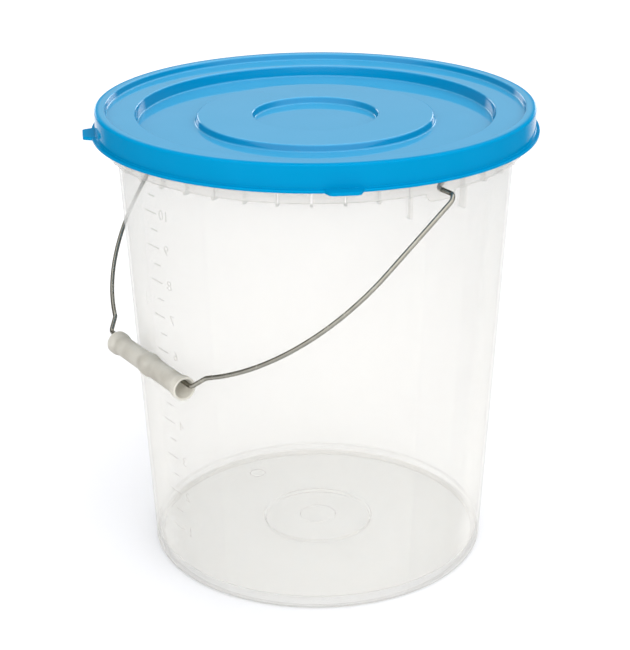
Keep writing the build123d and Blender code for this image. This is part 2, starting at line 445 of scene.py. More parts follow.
@dataclass(frozen=True)
class PalePlastic:
    """Pale grey-beige thin plastic that light shines through, blotched by a little grime."""

    light: Colour = (0.645, 0.63, 0.58)
    grimy: Colour = (0.455, 0.435, 0.39)
    through: Colour = (0.86, 0.84, 0.78)
    share: float = 0.45
    blotch_pitch: float = 13.0
    grime_from: float = 0.35
    grime_to: float = 0.72
    pore_pitch: float = 0.8
    pore_depth: float = 0.012
    rough: float = 0.42
    rough_spread: float = 0.12

    def material(self) -> bpy.types.Material:
        """Build the material.

        Returns:
            The material.
        """
        tree = FinishTree("pale_plastic")
        blotch = tree.noise(self.blotch_pitch, detail=3.0)
        pores = tree.noise(self.pore_pitch, detail=2.0)
        grime = tree.step(blotch, self.grime_from, self.grime_to)
        shader = tree.add("ShaderNodeBsdfPrincipled", {}, {
            "Base Color": tree.blend(grime, self.light, self.grimy),
            "Roughness": self.rough + self.rough_spread * blotch,
            "IOR": PLASTIC_IOR,
            "Normal": tree.bump(pores, self.pore_depth),
        })
        lit = tree.add("ShaderNodeBsdfTranslucent", {}, {"Color": (*self.through, 1.0)})
        return tree.finish(tree.mix(self.share, shader, lit))


@dataclass(frozen=True)
class StudioFloor:
    """Matt white studio floor."""

    pale: Colour = (0.71, 0.71, 0.725)
    white: Colour = (0.73, 0.73, 0.745)
    cloud_pitch: float = 900.0
    rough: float = 0.9

    def material(self) -> bpy.types.Material:
        """Build the material.

        Returns:
            The material.
        """
        tree = FinishTree("studio_floor")
        cloud = tree.noise(self.cloud_pitch, detail=1.0)
        shader = tree.add("ShaderNodeBsdfPrincipled", {}, {
            "Base Color": tree.blend(cloud, self.pale, self.white),
            "Roughness": self.rough,
            "Specular IOR Level": 0.0,
        })
        return tree.finish(shader)


@dataclass(frozen=True)
class Corner:
    """A corner of a section: distance from the axis, place along it, and rounding."""

    radius: float
    along: float
    rounding: float = 0.0


class Shape:
    """A mesh in the making."""

    round_steps: int = 6

    def __init__(self) -> None:
        """Start an empty mesh."""
        self.mesh: BMesh = bmesh.new()

    def section(self, corners: Sequence[Corner], closed: bool = False) -> list[BMVert | BMEdge]:
        """Draw a section in the XZ plane with rounded corners.

        Args:
            corners: Corners in order, in millimetres.
            closed: Whether the last corner joins the first.

        Returns:
            The vertices and edges of the section.
        """
        points = [self.mesh.verts.new((c.radius * MM, 0.0, c.along * MM)) for c in corners]
        followers = points[1:] + points[:1] if closed else points[1:]
        for start, end in zip(points, followers):
            self.mesh.edges.new((start, end))
        for corner, point in zip(corners, points):
            if corner.rounding:
                self._round(point, corner.rounding * MM)
        return [*self.mesh.verts, *self.mesh.edges]

    def _round(self, point: BMVert, radius: float) -> None:
        """Round one corner of a drawn section.

        Args:
            point: The corner.
            radius: Its rounding, in metres.
        """
        before, after = (edge.other_vert(point).co - point.co for edge in point.link_edges)
        reach = radius * math.tan((math.pi - before.angle(after)) / 2)
        bmesh.ops.bevel(
            self.mesh, geom=[point], offset=reach, offset_type="OFFSET", segments=self.round_steps,
            profile=0.5, affect="VERTICES", material=-1,
        )

    def turn(self, section: list[BMVert | BMEdge], steps: int) -> "Shape":
        """Turn a section once round the Z axis.

        Args:
            section: What to turn.
            steps: Number of steps of the whole turn.

        Returns:
            This shape, closed.
        """
        self._spin(section, 360.0, steps, True)
        return self.close()

    def turn_in_spans(self, section: list[BMVert | BMEdge], spans: Iterable[tuple[float, int]]) -> "Shape":
        """Turn a section once round the Z axis in parts of uneven fineness.

        Args:
            section: What to turn.
            spans: Degrees and number of steps of each part of the turn.

        Returns:
            This shape, closed.
        """
        last = section
        for degrees, steps in spans:
            last = self._spin(last, degrees, steps, False)
        return self.close()

    def _spin(
        self, section: list[BMVert | BMEdge], degrees: float, steps: int, whole: bool,
    ) -> list[BMVert | BMEdge]:
        """Turn a section round the Z axis.

        Args:
            section: What to turn.
            degrees: How far.
            steps: In how many steps.
            whole: Whether the last step joins the first.

        Returns:
            The section at the end of the turn.
        """
        return bmesh.ops.spin(
            self.mesh, geom=section, cent=(0, 0, 0), axis=UPRIGHT, dvec=(0, 0, 0),
            angle=math.radians(degrees), steps=steps, use_merge=whole, use_duplicate=False,
        )["geom_last"]

    def close(self) -> "Shape":
        """Merge what coincides and point the faces outwards.

        Returns:
            This shape.
        """
        bmesh.ops.remove_doubles(self.mesh, verts=self.mesh.verts, dist=MERGE * MM)
        bmesh.ops.dissolve_degenerate(self.mesh, edges=self.mesh.edges, dist=SLIVER * MM)
        bmesh.ops.recalc_face_normals(self.mesh, faces=self.mesh.faces)
        return self

    def plate(self, outline: Sequence[Vector], thickness: Vector) -> list[BMVert]:
        """Add a flat plate.

        Args:
            outline: Corners in metres.
            thickness: Its thickness and direction, in metres.

        Returns:
            The plate's vertices.
        """
        face = self.mesh.faces.new([self.mesh.verts.new(point) for point in outline])
        grown = bmesh.ops.extrude_face_region(self.mesh, geom=[face], use_keep_orig=True)["geom"]
        lifted = [item for item in grown if isinstance(item, BMVert)]
        bmesh.ops.translate(self.mesh, verts=lifted, vec=thickness)
        return [*face.verts, *lifted]

    def move(self, matrix: Matrix) -> "Shape":
        """Move the whole shape."""
        bmesh.ops.transform(self.mesh, matrix=matrix, verts=self.mesh.verts)
        return self

    def joined(self, other: "Shape", join: Join) -> "Shape":
        """Combine two closed shapes into a new one, using both up.

        Args:
            other: The shape to add or to cut away.
            join: What to do with it.

        Returns:
            The combined shape.
        """
        objects = [shape._object(name) for shape, name in ((self, "first"), (other, "second"))]
        modifier = objects[0].modifiers.new("join", "BOOLEAN")
        modifier.solver = "EXACT"
        modifier.operation = join.value
        modifier.object = objects[1]
        bpy.context.view_layer.update()
        evaluated = objects[0].evaluated_get(bpy.context.evaluated_depsgraph_get())
        combined = Shape()
        combined.mesh.from_mesh(evaluated.data)
        for item in objects:
            mesh = item.data
            bpy.data.objects.remove(item)
            bpy.data.meshes.remove(mesh)
        return combined

    def _object(self, name: str) -> bpy.types.Object:
        """Put the mesh in an object of the scene and give up the bmesh.

        Args:
            name: Name of the object.

        Returns:
            The object.
        """
        mesh = bpy.data.meshes.new(name)
        self.mesh.to_mesh(mesh)
        self.mesh.free()
        item = bpy.data.objects.new(name, mesh)
        bpy.context.scene.collection.objects.link(item)
        return item

    def piece(self, name: str, material: bpy.types.Material, sharp: float = 32.0) -> bpy.types.Object:
        """Finish the shape as a piece of the scene.

        Args:
            name: Name of the piece.
            material: Its finish.
            sharp: Angle in degrees past which an edge stays crisp.

        Returns:
            The piece.
        """
        item = self._object(name)
        item.data.materials.append(material)
        item.data.shade_smooth()
        item.data.set_sharp_from_angle(angle=math.radians(sharp))
        shading = item.modifiers.new("even_shading", "WEIGHTED_NORMAL")
        shading.keep_sharp = True
        return item


@dataclass
class Tub:
    """The moulded tub with its rim, ribbed collar and ears."""

    height: float = 295.3
    base_radius: float = 109.8
    draft: float = math.tan(math.radians(2.94))
    wall: float = 1.8
    floor: float = 2.0
    foot_height: float = 5.0
    foot_width: float = 5.2
    foot_round: float = 2.6
    floor_round: float = 2.5
    pad_radius: float = 36.0
    pad_rise: float = 1.0
    dimple_radius: float = 11.8
    dimple_depth: float = 0.6
    rim_depth: float = 10.9
    rim_step: float = 9.3
    rim_wall: float = 1.9
    rim_bead: float = 0.4
    rim_bead_height: float = 3.5
    shoulder: float = 2.0
    collar_wall: float = 1.8
    collar_below: float = 1.4
    collar_round: float = 0.8
    edge_round: float = 0.5
    ear_width: float = 20.6
    ear_drop: float = 4.9
    ear_round: float = 5.0
    hole_radius: float = 1.7
    hook_gap: float = 0.85
    hook_room: float = 1.2
    hook_reach: float = 7.3
    wire: float = 2.7
    rib_zone: float = 20.0
    ribs_per_side: int = 20
    rib: float = 1.4
    rib_drop: float = 2.2
    ear_rib_drop: float = 13.6
    ear_steps: int = 40
    side_steps: int = 114
    hole_sides: int = 32

    def wall_radius(self, z: float) -> float:
        """Outside radius of the wall at a height."""
        return self.base_radius + z * self.draft

    @property
    def shoulder_top(self) -> float:
        """Height of the shoulder's upper face."""
        return self.height - self.rim_depth

    @property
    def shoulder_low(self) -> float:
        """Height of the shoulder's lower face."""
        return self.shoulder_top - self.shoulder

    @property
    def pivot(self) -> float:
        """Height of the bail's axis."""
        return self.shoulder_low - self.hook_room - self.hook_reach

    @property
    def collar_low(self) -> float:
        """Height of the collar's lower edge."""
        return self.pivot - self.collar_below

    @property
    def collar_inside(self) -> float:
        """Inside radius of the collar."""
        return self.wall_radius(self.shoulder_low) + self.wire + 2 * self.hook_gap

    @property
    def collar_radius(self) -> float:
        """Outside radius of the collar."""
        return self.collar_inside + self.collar_wall

    @property
    def rim_radius(self) -> float:
        """Outside radius of the rim below its bead."""
        return self.wall_radius(self.shoulder_low) + self.rim_step

    @property
    def rim_inside(self) -> float:
        """Inside radius of the rim."""
        return self.rim_radius - self.rim_wall

    def shell(self) -> Shape:
        """Turn the tub's section and let its collar down at the two ears.

        Returns:
            The tub without its ribs and holes.
        """
        floor_top = self.foot_height + self.floor
        pad_top = floor_top + self.pad_rise
        bead = self.rim_radius + self.rim_bead
        bead_low = self.height - self.rim_bead_height
        foot_inside = self.base_radius - self.foot_width
        ribs_low = self.collar_low - self.rib_zone
        small = self.edge_round
        corners = [
            Corner(0, pad_top - self.dimple_depth),
            Corner(self.dimple_radius, pad_top - self.dimple_depth),
            Corner(self.dimple_radius + self.dimple_depth, pad_top),
            Corner(self.pad_radius, pad_top),
            Corner(self.pad_radius + self.pad_rise, floor_top),
            Corner(self.wall_radius(floor_top) - self.wall, floor_top, self.floor_round),
            Corner(self.wall_radius(self.shoulder_top) - self.wall, self.shoulder_top, small),
            Corner(self.rim_inside, self.shoulder_top, small),
            Corner(self.rim_inside, self.height, small),
            Corner(bead, self.height, small),
            Corner(bead, bead_low),
            Corner(self.rim_radius, bead_low - self.rim_bead),
            Corner(self.rim_radius, self.shoulder_low, small),
            Corner(self.collar_radius, self.shoulder_low),
            Corner(self.collar_radius, self.collar_low, self.collar_round),
            Corner(self.collar_inside, self.collar_low, self.collar_round),
            Corner(self.collar_inside, self.shoulder_low),
            Corner(self.wall_radius(self.shoulder_low), self.shoulder_low),
            Corner(self.wall_radius(ribs_low), ribs_low),
            Corner(self.base_radius, 0, self.foot_round),
            Corner(foot_inside, 0, small),
            Corner(foot_inside, self.foot_height),
            Corner(self.pad_radius, self.foot_height),
            Corner(self.pad_radius - self.pad_rise, self.foot_height + self.pad_rise),
            Corner(0, self.foot_height + self.pad_rise),
        ]
        half_ear = math.degrees(self.ear_width / 2 / self.collar_radius)
        shape = Shape()
        section = shape.section(corners)
        points = [item for item in section if isinstance(item, BMVert)]
        start = Matrix.Rotation(math.radians(-half_ear), 3, "Z")
        bmesh.ops.rotate(shape.mesh, verts=points, cent=(0, 0, 0), matrix=start)
        ear, side = (2 * half_ear, self.ear_steps), (180 - 2 * half_ear, self.side_steps)
        shape.turn_in_spans(section, (ear, side, ear, side))
        self._let_down_ears(shape)
        return shape

    def _let_down_ears(self, shape: Shape) -> None:
        """Lower the collar's edge to a rounded tongue at each ear.

        Args:
            shape: The turned tub.
        """
        edge = (self.collar_low + self.collar_round + TOUCH) * MM
        half = self.ear_width / 2
        for point in shape.mesh.verts:
            radius = math.hypot(point.co.x, point.co.y) / MM
            on_collar = self.collar_inside - TOUCH < radius < self.collar_radius + TOUCH
            if not on_collar or point.co.z > edge:
                continue
            aside = abs(math.asin(max(-1.0, min(1.0, point.co.y / MM / radius)))) * self.collar_radius
            if aside < half:
                curve = max(0.0, aside - half + self.ear_round) / self.ear_round
                point.co.z -= self.ear_drop * math.sqrt(1 - curve * curve) * MM

    def ribs(self) -> Shape:
        """Upright webs between the wall and the collar, longer beside the ears.

        Returns:
            All the ribs.
        """
        shape = Shape()
        pitch = 180 / (self.ribs_per_side + 1)
        for first_ear in (0, 180):
            for place in range(1, self.ribs_per_side + 1):
                beside_ear = place in (1, self.ribs_per_side)
                drop = self.ear_rib_drop if beside_ear else self.rib_drop
                self._rib(shape, drop, first_ear + place * pitch)
        return shape.close()

    def _rib(self, shape: Shape, drop: float, angle: float) -> None:
        """Add one rib to a shape.

        Args:
            shape: The shape that takes it.
            drop: How far it reaches below the collar.
            angle: Its place round the tub, in degrees.
        """
        low = self.collar_low - drop
        high = self.shoulder_low + self.shoulder / 2
        outside = self.collar_radius - self.collar_wall / 2
        outline = (
            (self.wall_radius(low) - self.wall / 2, low),
            (self.collar_inside, low),
            (outside, self.collar_low),
            (outside, high),
            (self.wall_radius(high) - self.wall / 2, high),
        )
        corners = [Vector((r, -self.rib / 2, z)) * MM for r, z in outline]
        points = shape.plate(corners, Vector((0, self.rib * MM, 0)))
        turn = Matrix.Rotation(math.radians(angle), 3, "Z")
        bmesh.ops.rotate(shape.mesh, verts=points, cent=(0, 0, 0), matrix=turn)

    def ear_holes(self) -> Shape:
        """Round plugs to cut the two holes for the wire.

        Returns:
            Both plugs.
        """
        shape = Shape()
        start = (self.collar_inside + self.wall_radius(self.pivot)) / 2
        length = self.collar_radius + self.collar_wall - start
        for side in (1, -1):
            place = Matrix.Translation(Vector((side * (start + length / 2), 0, self.pivot)) * MM)
            place @= Matrix.Rotation(math.pi / 2, 4, "Y")
            bmesh.ops.create_cone(
                shape.mesh, cap_ends=True, segments=self.hole_sides, radius1=self.hole_radius * MM,
                radius2=self.hole_radius * MM, depth=length * MM, matrix=place,
            )
        return shape.close()

    def build(self, material: bpy.types.Material) -> bpy.types.Object:
        """Make the tub and set it on its body.

        Args:
            material: The tub's finish.

        Returns:
            The tub.
        """
        shape = self.shell().joined(self.ear_holes(), Join.CUT).joined(self.ribs(), Join.UNITE)
        piece = shape.piece("moulded_tub", material)
        return settle(piece, Body.TUB, "tub")


@dataclass
class LitreScale:
    """Fine raised marks and numerals on the inside of the wall."""

    tub: Tub
    zero_level: float = 7.4
    first_half_litres: int = 2
    last_half_litres: int = 21
    near_angle: float = -84.6
    long_mark: float = 11.5
    short_mark: float = 6.4
    mark_height: float = 0.75
    relief: float = 0.35
    numeral_angle: float = -81.0
    numeral_height: float = 6.6
    numeral_share: float = 0.7
    thinner: float = 0.2
    rooting: float = 0.5
    mark_steps: int = 6
    numeral_steps: int = 4

    @property
    def depth(self) -> float:
        """Thickness of the raised strokes, with the part of it that is rooted in the wall."""
        return (1 + self.rooting) * self.relief

    def level(self, litres: float) -> float:
        """Height that a volume fills the tub to.

        Args:
            litres: The volume.

        Returns:
            The height.
        """
        slope = self.tub.draft
        inside = self.tub.base_radius - self.tub.wall
        start = (inside + slope * self.zero_level) ** 3
        return ((start + 3 * slope * litres * LITRE / math.pi) ** (1 / 3) - inside) / slope

    def _wrap(self, point: BMVert, angle: float, level: float) -> None:
        """Lay a point of a flat drawing on the inside of the wall.

        Args:
            point: A point in millimetres: across, up, and out of the drawing.
            angle: The drawing's place round the tub, in degrees.
            level: The drawing's height.
        """
        z = level + point.co.y
        wall_inside = self.tub.wall_radius(z) - self.tub.wall
        turn = math.radians(angle) + point.co.x / wall_inside
        radius = wall_inside + self.rooting * self.relief - point.co.z
        point.co = Vector((radius * math.cos(turn), radius * math.sin(turn), z)) * MM

    def marks(self) -> Shape:
        """Long marks at the litres and short ones between them.

        Returns:
            All the marks.
        """
        shape = Shape()
        for half in range(self.first_half_litres, self.last_half_litres + 1):
            length = self.short_mark if half % 2 else self.long_mark
            made = bmesh.ops.create_grid(
                shape.mesh, x_segments=self.mark_steps, y_segments=1, size=0.5,
            )["verts"]
            faces = list({face for point in made for face in point.link_faces})
            grown = bmesh.ops.extrude_face_region(shape.mesh, geom=faces, use_keep_orig=True)["geom"]
            lifted = [item for item in grown if isinstance(item, BMVert)]
            bmesh.ops.translate(shape.mesh, verts=lifted, vec=(0, 0, 1))
            for point in made + lifted:
                point.co.x = (point.co.x - 0.5) * length
                point.co.y *= self.mark_height
                point.co.z *= self.depth
                self._wrap(point, self.near_angle, self.level(half / 2))
        return shape.close()

    def numerals(self) -> Shape:
        """Litre numbers beside the long marks.

        Returns:
            All the numbers.
        """
        shape = Shape()
        for half in range(self.first_half_litres, self.last_half_litres + 1, 2):
            flat = self._numeral(half // 2)
            known = len(shape.mesh.verts)
            shape.mesh.from_mesh(flat)
            bpy.data.meshes.remove(flat)
            shape.mesh.verts.ensure_lookup_table()
            for point in shape.mesh.verts[known:]:
                point.co.x = -point.co.x
                point.co.z += self.depth / 2
                self._wrap(point, self.numeral_angle, self.level(half / 2))
        return shape.close()

    def _numeral(self, litres: int) -> bpy.types.Mesh:
        """Draw one number flat, in millimetres.

        Args:
            litres: The number.

        Returns:
            Its mesh.
        """
        drawing = bpy.data.curves.new("numeral", "FONT")
        drawing.body = str(litres)
        drawing.size = self.numeral_height / self.numeral_share
        drawing.align_x = "CENTER"
        drawing.align_y = "CENTER"
        drawing.extrude = self.depth / 2
        drawing.offset = -self.thinner
        drawing.resolution_u = self.numeral_steps
        holder = bpy.data.objects.new("numeral", drawing)
        bpy.context.scene.collection.objects.link(holder)
        bpy.context.view_layer.update()
        flat = bpy.data.meshes.new_from_object(holder)
        bpy.data.objects.remove(holder)
        bpy.data.curves.remove(drawing)
        return flat

    def build(self, material: bpy.types.Material) -> list[bpy.types.Object]:
        """Make the marks and numerals and set them on the tub.

        Args:
            material: Their finish.

        Returns:
            The two pieces.
        """
        marks = self.marks().piece("scale_marks", material)
        numerals = self.numerals().piece("scale_numerals", material)
        return [settle(piece, Body.TUB) for piece in (marks, numerals)]


@dataclass
class FloorMark:
    """Small round mark that the mould leaves on the tub's floor."""

    tub: Tub
    place: tuple[float, float] = (-76.0, -2.0)
    radius: float = 5.8
    band: float = 0.9
    relief: float = 0.35
    sink: float = 0.05
    steps: int = 48

    def build(self, material: bpy.types.Material) -> bpy.types.Object:
        """Make the mark and set it on the tub.

        Args:
            material: Its finish.

        Returns:
            The mark.
        """
        floor_top = self.tub.foot_height + self.tub.floor
        shape = Shape()
        section = shape.section([
            Corner(self.radius - self.band, floor_top - self.sink),
            Corner(self.radius - self.band / 2, floor_top + self.relief),
            Corner(self.radius, floor_top - self.sink),
        ], closed=True)
        shape.turn(section, self.steps)
        shape.move(Matrix.Translation((*(MM * Vector(self.place)), 0.0)))
        return settle(shape.piece("floor_mark", material), Body.TUB)


@dataclass
class Lid:
    """The blue lid with its stacking panel, skirt and pull lugs."""

    tub: Tub
    wall: float = 1.8
    seat: float = 0.3
    clearance: float = 0.6
    lip_room: float = 6.15
    skirt_round: float = 1.6
    lip_reach: float = 2.6
    lip_height: float = 1.8
    land_drop: float = 4.1
    recess_depth: float = 7.3
    recess_slope: float = 0.9
    stack_clearance: float = 0.8
    ring_outer: float = 73.4
    ring_inner: float = 39.0
    ring_rise: float = 4.2
    ring_slope: float = 1.0
    edge_round: float = 0.5
    panel_round: float = 1.2
    lug_reach: float = 5.0
    lug_width: float = 24.0
    lug_tip_width: float = 17.0
    lug_thickness: float = 2.0
    lug_round: float = 2.0
    lug_lift: float = 0.05
    lug_angles: tuple[float, ...] = (-115.2, -26.7)
    steps: int = 300

    @property
    def top(self) -> float:
        """Height of the lid's highest face."""
        return self.tub.height + self.seat + self.wall

    @property
    def skirt_inside(self) -> float:
        """Inside radius of the skirt."""
        return self.tub.rim_radius + self.tub.rim_bead + self.clearance

    @property
    def skirt_radius(self) -> float:
        """Outside radius of the skirt."""
        return self.skirt_inside + self.wall

    @property
    def lip_radius(self) -> float:
        """Outside radius of the lip."""
        return self.skirt_radius + self.lip_reach

    @property
    def skirt_low(self) -> float:
        """Height of the skirt's lower edge."""
        return self.tub.pivot + self.tub.wire / 2 + self.lip_room

    def shell(self) -> Shape:
        """Turn the lid's section.

        Returns:
            The lid without its lugs.
        """
        land = self.top - self.land_drop
        recess = land - self.recess_depth
        ring = recess + self.ring_rise
        recess_radius = self.tub.base_radius + self.stack_clearance
        channel = self.tub.rim_inside - self.clearance
        lip_top = self.skirt_low + self.lip_height
        under = self.wall
        small, soft = self.edge_round, self.panel_round
        corners = [
            Corner(0, recess),
            Corner(self.ring_inner - self.ring_slope, recess, soft),
            Corner(self.ring_inner, ring, soft),
            Corner(self.ring_outer, ring, soft),
            Corner(self.ring_outer + self.ring_slope, recess, soft),
            Corner(recess_radius, recess, soft),
            Corner(recess_radius + self.recess_slope, land, soft),
            Corner(channel - self.wall, land, soft),
            Corner(channel - self.wall + small, self.top, soft),
            Corner(self.skirt_radius, self.top, self.skirt_round),
            Corner(self.skirt_radius, lip_top, small),
            Corner(self.lip_radius, lip_top, small),
            Corner(self.lip_radius, self.skirt_low, small),
            Corner(self.skirt_inside, self.skirt_low, small),
            Corner(self.skirt_inside, self.top - under, small),
            Corner(channel, self.top - under, small),
            Corner(channel, land - under, small),
            Corner(recess_radius + self.recess_slope + under, land - under, small),
            Corner(recess_radius + under, recess - under, 2 * small),
            Corner(self.ring_outer + self.ring_slope - under, recess - under),
            Corner(self.ring_outer - under, ring - under),
            Corner(self.ring_inner + under, ring - under),
            Corner(self.ring_inner - self.ring_slope + under, recess - under),
            Corner(0, recess - under),
        ]
        shape = Shape()
        return shape.turn(shape.section(corners), self.steps)

    def lugs(self) -> Shape:
        """The pull lugs, rounded at their tips.

        Returns:
            Both lugs.
        """
        shape = Shape()
        root = self.skirt_radius - self.wall / 2
        tip = self.lip_radius + self.lug_reach
        half, tip_half = self.lug_width / 2, self.lug_tip_width / 2
        outline = [Vector(p) * MM for p in (
            (root, -half, 0), (tip, -tip_half, 0), (tip, tip_half, 0), (root, half, 0),
        )]
        lift = Matrix.Translation((0, 0, (self.skirt_low + self.lug_lift) * MM))
        for angle in self.lug_angles:
            points = shape.plate(outline, Vector((0, 0, self.lug_thickness * MM)))
            tips = [p for p in points if p.co.x > self.lip_radius * MM]
            upright = [
                edge for edge in {e for p in tips for e in p.link_edges}
                if abs(edge.verts[0].co.z - edge.verts[1].co.z) > self.lug_thickness * MM / 2
            ]
            rounded = bmesh.ops.bevel(
                shape.mesh, geom=upright, offset=self.lug_round * MM, offset_type="OFFSET",
                segments=Shape.round_steps, profile=0.5, affect="EDGES", material=-1,
            )
            points = list({p for p in points if p.is_valid} | set(rounded["verts"]))
            place = Matrix.Rotation(math.radians(angle), 4, "Z") @ lift
            bmesh.ops.transform(shape.mesh, matrix=place, verts=points)
        return shape.close()

    def build(self, material: bpy.types.Material) -> bpy.types.Object:
        """Make the lid and set it on its body.

        Args:
            material: The lid's finish.

        Returns:
            The lid.
        """
        piece = self.shell().joined(self.lugs(), Join.UNITE).piece("press_on_lid", material)
        return settle(piece, Body.LID, "lid")


@dataclass
class Bail:
    """The bent wire, drawn flat with X along its axis and -Y away from it."""

    tub: Tub
    lid: Lid
    grip_length: float = 86.8
    grip_end_play: float = 8.6
    leg_clearance: float = 4.6
    arc_inside: float = 2.0
    arc_drop: float = 38.85
    leg_bend: float = 5.0
    kink_bend: float = 4.5
    kink_lead: float = 3.0
    kink_run: float = 6.7
    kink_drop: float = 9.3
    hook_bend: float = 2.0
    hang: float = 45.639
    wire_sides: int = 20
    bend_step: float = 2.5
    least_bend_steps: int = 8
    sharp: float = 50.0

    @property
    def arc_radius(self) -> float:
        """Radius of the wire's long arc."""
        return self.lid.lip_radius - self.arc_inside

    @property
    def run_across(self) -> float:
        """Half the length of the straight run under the grip."""
        return self.grip_length / 2 + self.grip_end_play

    @property
    def arc_end(self) -> Vector:
        """Where the long arc ends beside the kink."""
        across = self.run_across + self.kink_run + self.kink_lead
        return Vector((across, -self.arc_drop - math.sqrt(self.arc_radius**2 - across**2)))

    @property
    def kink(self) -> Vector:
        """Corner between the arc's straight lead and the slanting step."""
        slope = self.arc_end.x / (-self.arc_end.y - self.arc_drop)
        return self.arc_end - self.kink_lead * Vector((1, slope))

    @property
    def run_down(self) -> float:
        """Distance of the straight run from the bail's axis."""
        return self.kink_drop - self.kink.y

    def rest(self) -> Matrix:
        """Place of the flat drawing when the bail hangs."""
        lift = Matrix.Translation((0, 0, self.tub.pivot * MM))
        return lift @ Matrix.Rotation(math.radians(90 - self.hang), 4, "X")

    def corners(self) -> list[tuple[Vector, float]]:
        """Corners and bends of half the wire, from its hooked end to its middle.

        Returns:
            Place and radius of each bend.
        """
        tub = self.tub
        hook = (tub.collar_inside + tub.wall_radius(tub.pivot)) / 2
        leg = self.lid.lip_radius + self.leg_clearance
        to_leg = math.hypot(leg, self.arc_drop)
        start = math.acos(self.arc_radius / to_leg) - math.atan2(self.arc_drop, leg)
        end = math.acos(self.arc_end.x / self.arc_radius)
        middle, half = (start + end) / 2, (end - start) / 2
        arm = self.arc_radius / math.cos(half)
        return [
            (Vector((hook, tub.hook_reach)), 0.0),
            (Vector((hook, 0)), self.hook_bend),
            (Vector((leg, 0)), self.leg_bend),
            (Vector((arm * math.cos(middle), -self.arc_drop - arm * math.sin(middle))), self.arc_radius),
            (self.kink, self.kink_bend),
            (Vector((self.run_across, -self.run_down)), self.kink_bend),
            (Vector((0, -self.run_down)), 0.0),
        ]

    def wire_half(self) -> Shape:
        """Draw half the wire by drawing out and bending a circle.

        Returns:
            The half, open at the middle.
        """
        shape = Shape()
        corners = self.corners()
        start = corners[0][0]
        face_down = Matrix.Translation((*(start * MM), 0)) @ Matrix.Rotation(math.pi / 2, 4, "X")
        circle = bmesh.ops.create_circle(
            shape.mesh, cap_ends=True, segments=self.wire_sides, radius=self.tub.wire / 2 * MM,
            matrix=face_down,
        )["verts"]
        loop = list({edge for point in circle for edge in point.link_edges})
        done = 0.0
        for (before, _), (corner, bend), (after, _) in zip(corners, corners[1:], corners[2:]):
            way, next_way = (corner - before).normalized(), (after - corner).normalized()
            turn = way.angle_signed(next_way)
            reach = bend * math.tan(abs(turn) / 2)
            loop = self._draw_out(shape, loop, way * ((corner - before).length - done - reach))
            side = Vector((way.y, -way.x)) * math.copysign(bend, turn)
            centre = corner - way * reach + side
            steps = max(self.least_bend_steps, round(abs(math.degrees(turn)) / self.bend_step))
            bent = bmesh.ops.spin(
                shape.mesh, geom=loop, cent=(*(centre * MM), 0), axis=UPRIGHT, dvec=(0, 0, 0),
                angle=-turn, steps=steps, use_duplicate=False,
            )["geom_last"]
            loop = [item for item in bent if isinstance(item, BMEdge)]
            done = reach
        last, end = corners[-2][0], corners[-1][0]
        self._draw_out(shape, loop, (end - last) * (1 - done / (end - last).length))
        return shape

    @staticmethod
    def _draw_out(shape: Shape, loop: list[BMEdge], run: Vector) -> list[BMEdge]:
        """Draw the wire's open end out along a straight run.

        Args:
            shape: The wire.
            loop: Edges of its open end.
            run: How far to go, in millimetres in the drawing.

        Returns:
            The edges of the new open end.
        """
        grown = bmesh.ops.extrude_edge_only(shape.mesh, edges=loop)["geom"]
        points = [item for item in grown if isinstance(item, BMVert)]
        bmesh.ops.translate(shape.mesh, verts=points, vec=(*(run * MM), 0))
        return [e for e in grown if isinstance(e, BMEdge) and all(p in points for p in e.verts)]

    def build(self, material: bpy.types.Material) -> bpy.types.Object:
        """Make the whole wire and hang it.

        Args:
            material: The wire's finish.

        Returns:
            The bail.
        """
        shape = self.wire_half()
        bmesh.ops.mirror(
            shape.mesh, geom=[*shape.mesh.verts, *shape.mesh.edges, *shape.mesh.faces],
            matrix=Matrix.Identity(4), merge_dist=TOUCH * MM, axis="X",
        )
        piece = shape.close().move(self.rest()).piece("wire_bail", material, self.sharp)
        return settle(piece, Body.BAIL, "bail")


